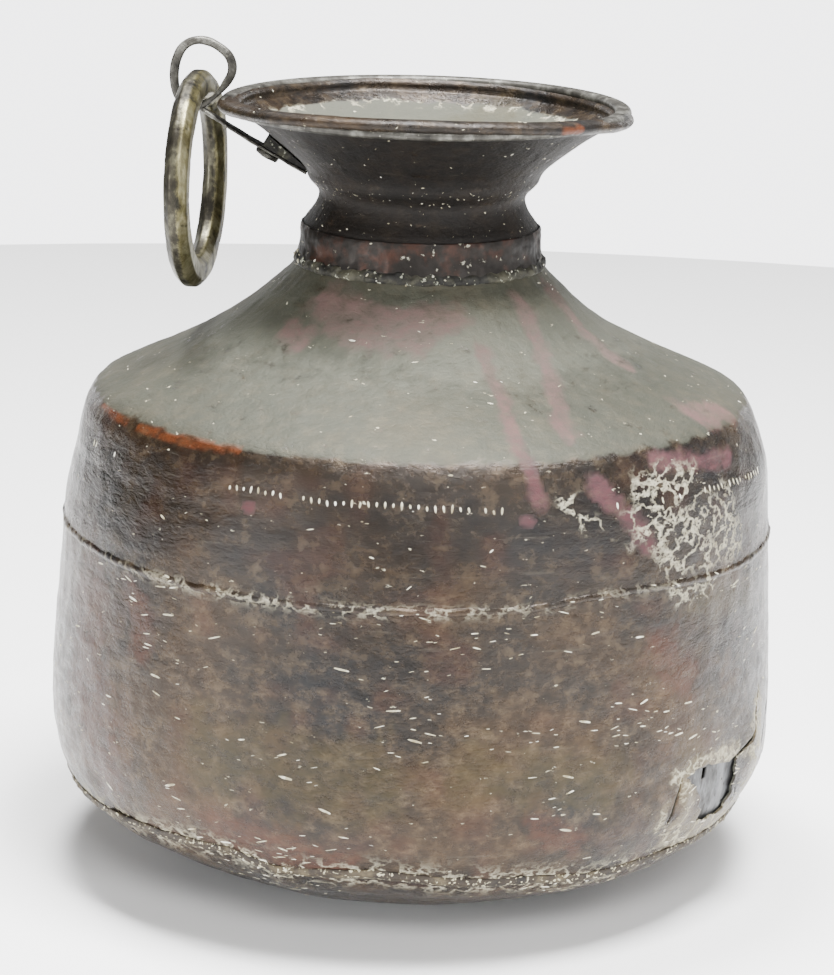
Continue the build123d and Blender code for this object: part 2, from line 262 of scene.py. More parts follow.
def painted(xyz, outside):
    """The painted maps at finished points (mm)."""
    az = np.degrees(np.arctan2(xyz[:, 0], -xyz[:, 1]))
    z, radius = xyz[:, 2], np.maximum(np.hypot(xyz[:, 0], xyz[:, 1]), 1)
    rough = 1 + 0.5 * noise(xyz, 7, 21) + 0.3 * noise(xyz, 2.6, 22)
    maps = {}
    for name, strokes in (
        ("pink", PINK), ("red", RED), ("olive", OLIVE), ("bare", BARE), ("lime", LIME), ("torn", TORN)
    ):
        total = np.zeros(len(az))
        for path, width in strokes:
            total = np.maximum(total, stroke(az, z, radius, path, width * rough))
        maps[name] = total
    maps["red"] = np.maximum(
        maps["red"], 0.4 * outside * step(0.0, 0.7, noise(xyz, 12, 26)) * (1 - step(225, 245, z))
    )
    waist, base = along(WAIST_PATH, az), along(BASE_PATH, az)
    maps["seam"] = np.maximum(bell(z, waist, 2.6) * (0.25 + 0.5 * bell(az, -20, 30)), bell(z, base, 7.0))
    maps["shoulder"] = step(237, 240, z + 1.2 * noise(xyz, 6, 23)) * (1 - step(300, 312, z))
    # Painted light: a pale band round the cone under the collar, lighter paint where the rim shades the
    # cone from the lamps above.
    maps["cone_painted_light"] = bell(z, 278, 17)
    maps["sooty"] = outside * (0.8 * bell(z, 208, 26) + 0.35 * bell(z, 150, 22))
    neck = step(298, 309, z)
    rim = step(86, 91, radius) * neck
    maps["dark"] = neck * (1 - 0.75 * rim) * outside
    below_crest = step(81.5, 83.5, radius + 1.6 * noise(xyz, 9, 25)) * neck
    maps["inside"] = (1.0 - outside) * (1 - below_crest)
    crust_line = (1.0 - outside) * neck * bell(radius + 1.6 * noise(xyz, 9, 25), 81.5, 1.5)
    maps["lime"] = np.maximum(maps["lime"], 1.2 * crust_line)
    clumps = step(-0.35, 0.6, noise(xyz * [1, 1, 1.5], 34, 24))
    low_band = 1.3 * bell(z, base + 2, 14) + 0.7 * bell(z, 95, 42) * bell(az, 40, 40)
    maps["fleck"] = outside * clumps * (0.16 + low_band + 0.5 * bell(z, waist - 6, 12) * bell(az, 5, 45))
    on_neck = 2.2 * bell(z, 341, 2.2) + 0.9 * bell(z, 325, 3) + 0.1 * neck
    maps["fleck"] = maps["fleck"] * step(3, 8, z) + outside * on_neck
    return maps


print("maps", sorted(painted(np.array([[0.0, -170, 100]]), np.ones(1))))

# %% [markdown]
# ## Turning an outline into a sheet
# The outline goes out along one face and back along the other, and is turned round the
# axis in small steps. The grid is joined to itself both ways, so the sheet is a closed
# shell with a real thickness and a real edge.

# %% The sheet maker
def mesh_of(name, xyz, faces, maps=None, smooth=True):
    mesh = bpy.data.meshes.new(name)
    mesh.from_pydata((np.asarray(xyz) * MM).tolist(), [], faces)
    mesh.validate()
    if smooth:
        mesh.shade_smooth()
    for key, values in (maps or {}).items():
        mesh.attributes.new(key, "FLOAT", "POINT").data.foreach_set("value", np.asarray(values, np.float32))
    made = bpy.data.objects.new(name, mesh)
    bpy.context.scene.collection.objects.link(made)
    return made


def grid_faces(rows, columns):
    """Quads over a grid of points that closes on itself both ways."""
    grid = np.arange(rows * columns).reshape(rows, columns)
    above = np.roll(grid, -1, 0)
    corners = [grid, np.roll(grid, -1, 1), np.roll(above, -1, 1), above]
    return np.stack(corners, -1).reshape(-1, 4).tolist()


def turned_sheet(name, outer, columns, warp=None, pole=False, thickness=SHEET):
    """A closed shell turned from an outer outline; pole closes it on the axis at its foot."""
    away = outward(outer)
    skip = 3 if len(outer) > 60 else 1
    keep = np.r_[np.arange(0, len(outer) - 1, skip), len(outer) - 1]
    inner = (outer - thickness * away)[keep][::-1]
    if pole:
        inner[-1] = (0, thickness)
    line = np.vstack([outer, inner])
    normal = np.vstack([away, away[keep][::-1]])
    side = np.r_[np.ones(len(outer)), np.zeros(len(inner))]
    rows, angles = len(line), np.linspace(-pi, pi, columns, endpoint=False)
    rows_on = np.arange(1, rows - 1) if pole else np.arange(rows)
    r, a = np.meshgrid(line[rows_on, 0], angles, indexing="ij")
    z = np.repeat(line[rows_on, 1], columns)
    n_r, n_z = np.repeat(normal[rows_on, 0], columns), np.repeat(normal[rows_on, 1], columns)
    face_side = np.repeat(side[rows_on], columns)
    xyz = hand_made(r.ravel(), z, a.ravel(), n_r, n_z, face_side)
    if warp is not None:
        xyz = warp(xyz)
    faces = grid_faces(len(rows_on), columns)
    if pole:
        faces = faces[:-columns]
        first, top_row = len(xyz), len(xyz) - columns
        xyz = np.vstack([xyz, [0, 0, 0], [0, 0, thickness]])
        face_side = np.r_[face_side, 1, 0]
        after = [(i + 1) % columns for i in range(columns)]
        faces += [[first, after[i], i] for i in range(columns)]
        faces += [[first + 1, top_row + i, top_row + after[i]] for i in range(columns)]
    made = mesh_of(name, xyz, faces, painted(xyz, face_side))
    print(name, "points", len(xyz), "faces", len(faces))
    return made


# %% [markdown]
# ## Base dish and lower wall
# The base dish sits on its flattened middle. The lower wall swells to the belly. Its right
# front corner has split: the cracks and the ragged hole are cut right through the sheet
# afterwards, so their edges show the copper's own thickness.

# %% Turn the base, the lower wall and the upper body
def lower_warp(xyz):
    """The dented lower left and the sheet lifted between two cracks."""
    az = np.degrees(np.arctan2(xyz[:, 0], -xyz[:, 1]))
    lift = 3.4 * bell(az, 68, 5.0) * bell(
        xyz[:, 2], 78, 15
    ) + 1.2 * bell(az, 47.5, 2.2) * bell(xyz[:, 2], 67, 9)
    dent = -1.6 * bell(az, -57, 3.2) * bell(xyz[:, 2], 60, 7)
    crease = -1.2 * bell(xyz[:, 2] - 50 + 0.55 * (az + 57), 0, 2.6) * bell(az, -48, 12)
    flat = -1.5 * bell(az, 54, 7) * bell(xyz[:, 2], 66, 14)
    bulge = 0.4 * bell(az, -85, 35) * bell(xyz[:, 2], 76, 22)
    move = lift + dent + crease + flat + bulge
    radius = np.maximum(np.hypot(xyz[:, 0], xyz[:, 1]), 1)
    xyz[:, 0] *= 1 + move / radius
    xyz[:, 1] *= 1 + move / radius
    return xyz


dish = turned_sheet("base_dish_copper", flowing(DISH, 2.2), 640, pole=True, warp=lower_warp)
lower = turned_sheet("lower_wall_copper", flowing(LOWER, 1.75), 720, warp=lower_warp)
upper = turned_sheet("upper_body_copper", flowing(UPPER, 1.9), 640)

# %% [markdown]
# ## The split corner
# The lower wall has cracked near the base at the right. A patch of tinned sheet behind
# shows through the hole. The hole and the cracks are drawn as outlines in angle and
# height, pushed out into blades, and cut through the sheet with a Boolean modifier.

# %% Cut the hole and the cracks
HOLE = [
    (47.4, 79.4), (49.0, 80.3), (50.2, 82.3), (51.6, 81.6), (52.8, 82.6), (54.2, 80.6), (56.0, 80.2),
    (57.6, 79.0), (59.4, 78.2), (60.8, 79.4), (61.6, 76.0), (61.2, 72.5), (61.9, 69.0), (61.2, 64.0),
    (61.9, 60.0), (60.6, 55.5), (61.2, 52.0), (58.6, 50.4), (57.0, 52.2), (55.4, 50.2), (53.6, 52.6),
    (52.3, 53.0), (52.9, 58.7), (51.6, 61.5), (52.0, 65.5), (50.9, 69.0), (50.2, 72.9), (48.6, 75.6),
    (48.4, 78.0)
]
CRACKS = [
    (
        [
            (60.9, 78.0), (62.4, 80.4), (64.0, 82.0), (66.4, 84.4), (67.6, 88.0), (68.5, 94.0),
            (69.4, 100.0), (71.2, 107.5)
        ],
        [2.2, 1.6, 2.0, 2.6, 1.2, 1.7, 1.0, 0.3]
    ),
    (
        [
            (75.6, 60.5), (75.0, 66.0), (74.2, 70.5), (74.6, 74.4), (75.6, 78.6), (77.4, 83.0),
            (79.6, 88.0), (81.5, 92.0)
        ],
        [0.4, 1.4, 2.0, 3.4, 4.6, 3.6, 2.0, 0.4]
    ),
    ([(44.0, 58.6), (44.7, 64.0), (45.1, 70.0), (45.9, 76.0), (46.3, 80.4)], [0.9, 1.4, 1.2, 1.0, 0.5]),
    ([(63.6, 49.5), (64.2, 54.0), (63.4, 58.0), (62.4, 62.0)], [0.3, 0.9, 0.9, 0.6]),
]
SLOT = [(52.6, 74.0), (53.6, 74.3), (53.7, 79.6), (52.5, 80.0)]


def opened(path, widths):
    """The outline of a crack: its path opened to each width (mm)."""
    scale = 180 * radians(1)
    p = np.array(path) * [scale, 1]
    run = np.gradient(p, axis=0)
    run /= np.linalg.norm(run, axis=1)[:, None]
    half = np.array(widths)[:, None] / 2 * np.c_[-run[:, 1], run[:, 0]]
    return (np.vstack([p + half, (p - half)[::-1]]) / [scale, 1]).tolist()


BLADE_FROM, BLADE_TO = 168, 192


def blade(outline):
    """A closed prism that pushes an outline straight out through the wall."""
    def ring(radius):
        return [(radius * sin(radians(a)), -radius * cos(radians(a)), z) for a, z in outline]
    n = len(outline)
    faces = [list(range(n)), list(range(n, 2 * n))[::-1]]
    faces += [[(i + 1) % n, i, i + n, (i + 1) % n + n] for i in range(n)]
    return np.array(ring(BLADE_FROM) + ring(BLADE_TO)), faces


def joined_piece(name, parts):
    """One object from several (points, faces) parts."""
    points, faces, start = [], [], 0
    for xyz, part in parts:
        points.append(xyz)
        faces += [[i + start for i in f] for f in part]
        start += len(xyz)
    return mesh_of(name, np.vstack(points), faces)


def cut(piece, outlines):
    """Cuts each outline through a piece in turn, then paints its maps again."""
    for outline in outlines:
        knife = joined_piece("blade", [blade(outline)])
        loose = bmesh.new()
        loose.from_mesh(knife.data)
        bmesh.ops.recalc_face_normals(loose, faces=loose.faces)
        loose.to_mesh(knife.data)
        loose.free()
        saw = piece.modifiers.new("saw", "BOOLEAN")
        saw.object, saw.operation, saw.solver = knife, "DIFFERENCE", "EXACT"
        bpy.context.view_layer.update()
        mesh = bpy.data.meshes.new_from_object(piece.evaluated_get(bpy.context.evaluated_depsgraph_get()))
        piece.modifiers.clear()
        piece.data = mesh
        bpy.data.objects.remove(knife)
        print(piece.name, "cut, points", len(mesh.vertices))
    flat = np.empty(len(mesh.vertices) * 3, np.float32)
    mesh.vertices.foreach_get("co", flat)
    xyz = flat.reshape(-1, 3) / MM
    mesh.vertex_normals.foreach_get("vector", flat)
    facing = (flat.reshape(-1, 3)[:, :2] * xyz[:, :2]).sum(1) > 0
    for key, values in painted(xyz, facing.astype(float)).items():
        layer = mesh.attributes.get(key) or mesh.attributes.new(key, "FLOAT", "POINT")
        layer.data.foreach_set("value", np.asarray(values, np.float32))


cut(lower, [HOLE] + [opened(path, widths) for path, widths in CRACKS])
print("lower wall after the cuts", len(lower.data.vertices), "points")

# %% [markdown]
# ## The patch behind the hole
# A thin tinned plate was set behind the break. It follows the wall a little further in,
# buckled by hand, with one slot in it.

# %% Bend the patch
PATCH = [(173.2, 48), (175.1, 52), (177.4, 58), (179.4, 68), (180.1, 80), (180.0, 92)]
PATCH_BEHIND, PATCH_FROM, PATCH_TO = 2.2, 43.8, 65.2


def patch_sheet():
    line = flowing([(r - PATCH_BEHIND, z) for r, z in PATCH], 1.5)
    angles = np.radians(np.linspace(PATCH_FROM, PATCH_TO, 60))
    n, m = len(line), len(angles)
    a, r = np.meshgrid(angles, line[:, 0])
    z = np.repeat(line[:, 1], m).reshape(n, m)
    outer = np.c_[(r * np.sin(a)).ravel(), (-r * np.cos(a)).ravel(), z.ravel()]
    buckle = 0.35 * noise(outer, 11, 81) + 0.12 * noise(outer, 4, 82)
    outer[:, :2] *= (1 + buckle / r.ravel())[:, None]
    outer = lower_warp(outer)
    inner = outer * [1 - 1 / 178, 1 - 1 / 178, 1]
    grid = np.arange(n * m).reshape(n, m)
    quads = np.stack([grid[:-1, :-1], grid[:-1, 1:], grid[1:, 1:], grid[1:, :-1]], -1).reshape(-1, 4)
    back = quads[:, ::-1] + n * m
    rim = np.r_[grid[0, :-1], grid[:-1, -1], grid[-1, :0:-1], grid[:0:-1, 0]]
    after = np.roll(rim, -1)
    wall = np.stack([after, rim, rim + n * m, after + n * m], -1)
    return np.vstack([outer, inner]), np.vstack([quads, back, wall]).tolist()


patch = joined_piece("tear_patch_tinned", [patch_sheet()])
cut(patch, [SLOT])
print("patch points", len(patch.data.vertices))

# %% [markdown]
# ## Trumpet mouth
# The mouth is one sheet from the neck sleeve to the rolled rim. Its outline turns over an
# iron hoop and tucks back under. The rim has been knocked out of level, higher at the
# front and lower at the back and right.

# %% Turn the mouth with its rolled rim
FUNNEL = [
    (57.2, 312.2), (57.5, 316), (57.6, 319.6), (56.4, 322.6), (53.8, 326), (51.6, 330), (50.5, 334),
    (51.4, 337.2), (53.6, 339.6), (55.6, 341.6), (56.8, 343.6), (57.6, 346.2), (60.4, 350.2), (65, 354.6),
    (72, 360.7), (80, 367.3), (86, 371.6), (90.6, 374.2)
]
ROLL_R, ROLL_Z, ROLL_X, ROLL_Y = 95.6, 377.9, 5.7, 3.4


def mouth_warp(xyz):
    """The rim's plane knocked out of level, fading out down the funnel."""
    lifted = step(338, 376, xyz[:, 2])
    x, y = xyz[:, 0] / 100, xyz[:, 1] / 100
    xyz[:, 2] += lifted * (-2.6 * y - 1.0 * x + 1.6 * (y * y - x * x) - 0.6)
    xyz[:, 2] += lifted * 0.5 * noise(xyz, 30, 31)
    return xyz


def turned_mouth():
    columns = 560
    body = flowing(FUNNEL, 1.6)
    away = outward(body)
    inner = (body - SHEET * away)[::-1]
    turn = np.radians(np.arange(-118, 200, 11))
    roll = np.c_[ROLL_R + ROLL_X * np.cos(turn), ROLL_Z + ROLL_Y * np.sin(turn)]
    line = np.vstack([body, roll, inner])
    normal = np.vstack([away, np.repeat(away[-1:], len(roll), 0), away[::-1]])
    side = np.r_[np.ones(len(body) + len(roll) - 5), 0.8, 0.6, 0.4, 0.2, 0.1, np.zeros(len(inner))]
    rows = len(line)
    angle = np.tile(np.linspace(-pi, pi, columns, endpoint=False), rows)
    line, normal, side = (np.repeat(v, columns, 0) for v in (line, normal, side))
    xyz = hand_made(line[:, 0], line[:, 1], angle, normal[:, 0], normal[:, 1], side, 0.55)
    xyz = mouth_warp(xyz)
    return mesh_of("mouth_flare_copper", xyz, grid_faces(rows, columns), painted(xyz, side))


mouth = turned_mouth()
print("mouth faces", len(mouth.data.polygons))

# %% [markdown]
# ## Collar, solder and brazes
# A plain band covers the joint between the mouth and the body. Solder was run in under it
# and stands in lumps. The brazes are the low, crusty welts between the big sheets. All of
# them are narrow turned bands, made lumpy, and they wander with the sheets they join.

# %% Turn the narrow bands
def lumpy(height, size, seed):
    """A warp that raises soft lumps of about one size (mm) on a band."""
    def warp(xyz):
        radius = np.hypot(xyz[:, 0], xyz[:, 1])
        push = height * (noise(xyz, size, seed) + 0.5 * noise(xyz, size / 2.3, seed + 1))
        xyz[:, 0] *= 1 + push / radius
        xyz[:, 1] *= 1 + push / radius
        xyz[:, 2] += 0.5 * push
        return xyz
    return warp


BANDS = {
    "neck_collar_band": (
        [(60.2, 303.2), (59.9, 306), (59.2, 310), (58.9, 315), (58.8, 318.6), (58.3, 320.6)], 1.2, 0.4, 7,
        480
    ),
    "collar_solder_run": (
        [(60.2, 299.8), (61.6, 301.4), (61.4, 303.6), (60.2, 305.2), (59.2, 306.2)], 2.0, 1.0, 5, 480
    ),
    "waist_braze_welt": (
        [(175.6, 171.4), (176.3, 172.5), (176.5, 173.5), (176.1, 174.7), (175.2, 175.8)], 1.8, 0.35, 4, 900
    ),
    "base_braze_welt": (
        [(167.4, 38.4), (169.6, 39.7), (170.8, 41.0), (171.4, 42.6), (171.3, 44.2)], 2.2, 0.6, 4.5, 900
    ),
}
bands = {}
for name, (outline, thick, height, size, columns) in BANDS.items():
    bands[name] = turned_sheet(
        name, flowing(outline, 0.7), columns, warp=lumpy(height, size, 41), thickness=thick
    )

# %% [markdown]
# ## Carrying ring
# The ring is cast brass, filed to eight flats. It hangs from the eye, turned a little out
# of square. It is swept as an octagon with softened corners, then pitted.

# %% Sweep the ring
PIVOT = np.array([-111.12, 0.0, 385.12])
RING_TURN = radians(8)
RING_DEPTH, RING_WIDTH, RING_CHAMFER, RING_MID = 14.5, 11.5, 3.4, 45.75


def octagon(width, depth, chamfer, per_side=6):
    """Points round an octagon with its corners eased, as (across, radial)."""
    a, b, c = width / 2, depth / 2, chamfer
    right_half = [(a, -b + c), (a, b - c), (a - c, b), (-a + c, b)]
    corners = np.array(right_half + [(-x, -y) for x, y in right_half])
    after = np.roll(corners, -1, 0)
    shares = np.linspace(0, 1, per_side, endpoint=False)
    loop = np.array([corners[i] + (after[i] - corners[i]) * t for i in range(8) for t in shares])
    return 0.5 * loop + 0.25 * np.roll(loop, 1, 0) + 0.25 * np.roll(loop, -1, 0)


def swept_ring():
    section = octagon(RING_WIDTH, RING_DEPTH, RING_CHAMFER)
    turns = np.linspace(0, 2 * pi, 320, endpoint=False)
    t, across = np.meshgrid(turns, section[:, 0], indexing="ij")
    radial = np.tile(section[:, 1], (len(turns), 1))
    worn = 1 - 0.035 * bell(np.abs(t - pi), pi, 0.5)
    r = RING_MID + radial * worn
    flat = np.c_[across.ravel(), (r * np.sin(t)).ravel(), (r * np.cos(t)).ravel()]
    pits = np.minimum(
        0, noise(flat, 1.9, 51) + 0.45
    ) * 0.5 + 0.14 * noise(flat, 6, 52) + 0.12 * noise(flat, 15, 53)
    middle = np.c_[np.zeros(t.size), (RING_MID * np.sin(t)).ravel(), (RING_MID * np.cos(t)).ravel()]
    away = flat - middle
    away /= np.linalg.norm(away, axis=1)[:, None]
    flat += away * pits[:, None]
    turn = Matrix.Rotation(-RING_TURN, 3, "Z")
    xyz = flat @ np.array(turn).T + PIVOT - [0, 0, RING_MID]
    wear = {"across": flat[:, 0] / RING_WIDTH + 0.5, "pit": np.clip(-pits * 4, 0, 1)}
    return mesh_of("carrying_ring_brass", xyz, grid_faces(len(turns), len(section)), wear)


ring = swept_ring()
print("ring faces", len(ring.data.polygons))

# %% [markdown]
# ## Hanger
# The eye and the strap are one forging: a bar drawn out thin, curled into an eye and
# closed on itself, then left flat as a strap that is riveted and soldered to the funnel.
# The eye is a loft between its inner and outer edge lines, the strap a flat bar.

# %% Forge the eye and the strap
TURN_R, EYE_BAR, EYE_HALF_WIDTH = 8.42, 4.2, 2.4
EYE_IN = [
    (-0.5, -TURN_R), (-6.9, -5.5), (-9.0, 2.0), (-8.4, 9.8), (-5.5, 16.7), (0, 19.8), (7, 18.2), (13, 13.7),
    (14.7, 7.7), (12.0, 1.8), (7.8, -4.6)
]
EYE_OUT = [
    (-1.5, -TURN_R - EYE_BAR), (-9.8, -8.5), (-13.4, 1.4), (-13.0, 10.4), (-9.0, 19.7), (0, 23.8),
    (9, 21.7), (17, 15.7), (19.2, 7.6), (16.0, 0.5), (8.9, -6.5), (4.0, -10.8)
]


def closed_loop(points, count):
    p = points[-3:] + points + points[:4]
    line = flowing(p, 0.5)
    start = np.argmin(np.hypot(*(line - points[0]).T)[: len(line) // 2])
    end = len(line) // 2 + np.argmin(np.hypot(*(line - points[0]).T)[len(line) // 2:])
    part = line[start:end + 1]
    pick = np.linspace(0, len(part) - 1, count, endpoint=False)
    return np.c_[
        np.interp(pick, range(len(part)), part[:, 0]), np.interp(pick, range(len(part)), part[:, 1])
    ]


def rounded_bar(count, power=3.2):
    """A rounded square from -1 to 1, as (thick, wide)."""
    t = np.linspace(0, 2 * pi, count, endpoint=False)
    c, s = np.cos(t), np.sin(t)
    return np.c_[np.sign(c) * np.abs(c) ** (2 / power), np.sign(s) * np.abs(s) ** (2 / power)]


def forged_eye():
    inner, outer = closed_loop(EYE_IN, 220), closed_loop(EYE_OUT, 220)
    shift = [np.argmin(np.hypot(*(outer - p).T)) for p in inner]
    matched = outer[shift]
    k = np.ones(9) / 9
    wrap = np.vstack([matched[-4:], matched, matched[:4]])
    matched = np.c_[np.convolve(wrap[:, 0], k, "valid"), np.convolve(wrap[:, 1], k, "valid")]
    bar = rounded_bar(20)
    middle, half = (inner + matched) / 2, (matched - inner) / 2
    xz = middle[:, None] + half[:, None] * bar[None, :, :1]
    y = np.broadcast_to(EYE_HALF_WIDTH * bar[:, 1], xz.shape[:2])
    xyz = np.c_[xz[..., 0].ravel(), y.ravel(), xz[..., 1].ravel()] + PIVOT
    xyz += 0.22 * noise(xyz, 4, 61)[:, None] * np.array([0.7, 0.7, 0.7])
    return xyz, grid_faces(220, 20)


STRAP_FOOT, STRAP_TIP = np.array([-57.2, 0, 344.2]), np.array([-110.4, 0, 374.5])
STRAP_RUN = (STRAP_TIP - STRAP_FOOT) / np.linalg.norm(STRAP_TIP - STRAP_FOOT)
STRAP_UP = np.array([STRAP_RUN[2], 0, -STRAP_RUN[0]])
STRAP_HALF_WIDTHS, STRAP_HALF_THICKNESS = [6.6, 6.2, 2.5], 0.95


def strap_bar():
    count = 64
    t = np.linspace(0, 1, count)
    wide = np.interp(t, [0, 0.5, 1], STRAP_HALF_WIDTHS)
    bend = np.sin(pi * t) * -0.5
    bar = rounded_bar(28, 5)
    middle = STRAP_FOOT + np.outer(t, STRAP_TIP - STRAP_FOOT) + np.outer(bend, STRAP_UP)
    sideways = (wide[:, None] * bar[None, :, 1])[..., None] * np.array([0, 1, 0])
    xyz = middle[:, None] + STRAP_HALF_THICKNESS * bar[None, :, :1] * STRAP_UP + sideways
    xyz = xyz.reshape(-1, 3)
    xyz += STRAP_UP * (0.18 * noise(xyz, 5, 62))[:, None]
    n = len(bar)
    faces = [f for f in grid_faces(count, n) if max(f) - min(f) < (count - 1) * n - n]
    faces += [list(range(n))[::-1], list(range((count - 1) * n, count * n))]
    return xyz, faces


eye_xyz, eye_faces = forged_eye()
strap_xyz, strap_faces = strap_bar()
joined = np.vstack([eye_xyz, strap_xyz])
hanger = mesh_of(
    "hanger_forging_iron", joined, eye_faces + [[i + len(eye_xyz) for i in f] for f in strap_faces]
)
print("hanger points", len(joined))

# %% [markdown]
# ## Rivet
# One iron rivet goes through the strap and the funnel. Its head is a plain thick plate
# under the strap. Inside the mouth it is clenched over a small square rove.

# %% Rivet head and shank
RIVET_ALONG = 20.9
RIVET_AT = STRAP_FOOT + STRAP_RUN * RIVET_ALONG
HEAD = [(-4.0, 4.9), (-3.9, 5.7), (-3.4, 6.0), (-2.2, 6.1), (-1.5, 6.0), (-1.3, 5.6)]
SHANK = [(-1.3, 2.5), (4, 2.5), (9, 2.5), (13, 2.5)]


def stacked(levels, count, seed, rough=0.15):
    """A closed stud on the rivet's line from (height, radius) levels."""
    loop = rounded_bar(count, 2.0)
    side = np.array([0, 1, 0])
    disc = loop[:, :1] * STRAP_RUN + loop[:, 1:] * side
    xyz = np.vstack([RIVET_AT + STRAP_UP * height + radius * disc for height, radius in levels])
    xyz = xyz + rough * noise(xyz, 2.2, seed)[:, None] * np.ones(3)
    n, m = count, len(levels)
    faces = grid_faces(m, n)[:-n]
    faces += [list(range(n))[::-1], list(range((m - 1) * n, m * n))]
    return xyz, faces


rivet = joined_piece("strap_rivet_iron", [stacked(HEAD, 40, 71), stacked(SHANK, 24, 72, 0.05)])
print("rivet at", RIVET_AT.round(1), "faces", len(rivet.data.polygons))

# %% [markdown]
# ## Camera
# A long lens a little above the rim keeps the pot's sides nearly upright. It looks down by
# 14.4 degrees and is rolled a little.

# %% Camera
camera_data = bpy.data.cameras.new("camera")
LENS, SENSOR, DOWN, ROLL = 124.1, 36.0, radians(14.4), radians(1.6)
CAMERA_PLACE = (0.0009, -1.6285, 0.6045)
camera_data.lens, camera_data.sensor_width, camera_data.clip_end = LENS, SENSOR, 50
camera = bpy.data.objects.new("camera", camera_data)
bpy.context.scene.collection.objects.link(camera)
bpy.context.scene.camera = camera
right, up, back = Vector((1, 0, 0)), Vector((0, sin(DOWN), cos(DOWN))), Vector((0, -cos(DOWN), sin(DOWN)))
rolled_right = right * cos(ROLL) + up * sin(ROLL)
rolled_up = up * cos(ROLL) - right * sin(ROLL)
axes = Matrix((rolled_right, rolled_up, back)).transposed()
camera.matrix_world = Matrix.Translation(CAMERA_PLACE) @ axes.to_4x4()
print("camera", [round(v, 3) for v in camera.matrix_world.translation])


# %% [markdown]
# ## Three helpers for every material
# One turns an sRGB hex code into Blender's linear colour, one adds a node with its
# settings and links, and one starts a material.

# %% Node and colour helpers
def colour(hex_code):
    """sRGB hex to linear."""
    values = [int(hex_code[i:i + 2], 16) / 255 for i in (1, 3, 5)]
    return tuple(v / 12.92 if v <= 0.04045 else ((v + 0.055) / 1.055) ** 2.4 for v in values) + (1.0,)


def node(tree, kind, inputs=None, out=0, **settings):
    """Adds a node with its settings and links, and returns the output asked for."""
    made = tree.nodes.new(kind)
    stops = settings.pop("stops", [])
    for key, value in settings.items():
        setattr(made, key, value)
    for index, (place, code) in enumerate(stops):
        mark = made.color_ramp.elements[index] if index < 2 else made.color_ramp.elements.new(place)
        mark.position, mark.color = place, colour(code)
    for key, value in (inputs or {}).items():
        if isinstance(value, bpy.types.NodeSocket):
            tree.links.new(value, made.inputs[key])
        else:
            made.inputs[key].default_value = value
    return made.outputs[out] if made.outputs else None


def new_material(name):
    made = bpy.data.materials.new(name)
    made.use_nodes = True
    tree = made.node_tree
    return made, tree, tree.nodes["Principled BSDF"]


print("white is", colour("#ffffff"))

# %% [markdown]
# ## Floor and light
# A round sheet of pale paper, soft boxes at both sides, behind, high in front and
# overhead. The pale world behind is made to match the lit floor, and lights the pot little.

# %% Floor and lamps
FLOOR_R, FLOOR_Z, FLOOR_SIDES = 1.7, -0.0006, 96
WORLD_LIGHT, WORLD_SEEN = 0.18, 4.4
floor_mesh = bpy.data.meshes.new("floor")
floor_turns = [2 * pi * i / FLOOR_SIDES for i in range(FLOOR_SIDES)]
floor_ring = [(FLOOR_R * cos(turn), FLOOR_R * sin(turn), FLOOR_Z) for turn in floor_turns]
floor_mesh.from_pydata(floor_ring, [], [list(range(FLOOR_SIDES))])
floor = bpy.data.objects.new("floor", floor_mesh)
bpy.context.scene.collection.objects.link(floor)
floor_paint, floor_tree, floor_shader = new_material("White studio paper, matt")
floor_shader.inputs["Base Color"].default_value = colour("#fafafa")
floor_shader.inputs["Roughness"].default_value = 0.9
floor_mesh.materials.append(floor_paint)

world = bpy.data.worlds.new("studio")
bpy.context.scene.world = world
world.use_nodes = True
sky = world.node_tree.nodes["Background"]
sky.inputs["Color"].default_value = colour("#fdfdff")
seen = node(world.node_tree, "ShaderNodeLightPath", out="Is Camera Ray")
brightness = node(world.node_tree, "ShaderNodeMapRange", {0: seen, 3: WORLD_LIGHT, 4: WORLD_SEEN})
world.node_tree.links.new(brightness, sky.inputs["Strength"])


def lamp(name, place, aim, size, power):
    data = bpy.data.lights.new(name, "AREA")
    data.shape, data.size, data.size_y, data.energy = "RECTANGLE", size[0], size[1], power
    made = bpy.data.objects.new(name, data)
    bpy.context.scene.collection.objects.link(made)
    made.location = place
    made.rotation_euler = (Vector(aim) - Vector(place)).to_track_quat("-Z", "Y").to_euler()


lamp("left box", (-1.6, -1.35, 0.36), (0, 0, 0.2), (0.45, 0.65), 27)
lamp("right box", (1.35, -1.5, 0.36), (0, 0, 0.2), (0.4, 0.65), 18)
lamp("right side box", (1.9, 0.2, 0.6), (0, 0, 0.2), (1.0, 1.2), 11)
lamp("back left box", (-1.0, 2.2, 0.6), (0, 0, 0.2), (0.7, 1.2), 8)
lamp("back right box", (1.0, 2.2, 0.6), (0, 0, 0.2), (0.7, 1.2), 8)
lamp("front high box", (0.3, -1.9, 1.5), (0, 0, 0.28), (1.2, 0.6), 40)
lamp("top box", (0.35, -0.35, 2.1), (0, 0, 0.1), (0.7, 0.7), 150)
lamp("second top box", (-0.3, 0.25, 2.2), (0, 0, 0.1), (0.5, 0.5), 95)
print("lamps", len(bpy.data.lights))

# %% [markdown]
# ## Old copper
# Raised copper that has stood with water in it for decades turns a warm grey-brown under
# a thin dull skin, so it is set about half metal, with a satin gloss that handling has
# polished on the upper body. Stains are laid over it in order, each from its painted map
# with its edge broken by noise: the grey-green shoulder, the near-black neck, reddish and
# olive patches, pink dye that ran down, bare orange copper on worn edges and white lime.
# Among the layers is also a pale band of painted light on the cone under the collar. It
# lightens the cone where the rim shades it from the lamps above.
# Scratches run round the pot, so their noise is squashed in height.

# %% Copper sheet with its stains
CREASE = 1000 / 190


def soft_mask(tree, name, broken, low, high):
    """A painted map whose edge is broken up by a noise value."""
    painted_map = node(tree, "ShaderNodeAttribute", out="Fac", attribute_name=name)
    product = node(tree, "ShaderNodeMath", {0: painted_map, 1: broken}, operation="MULTIPLY")
    return node(tree, "ShaderNodeMapRange", {0: product, 1: low, 2: high})


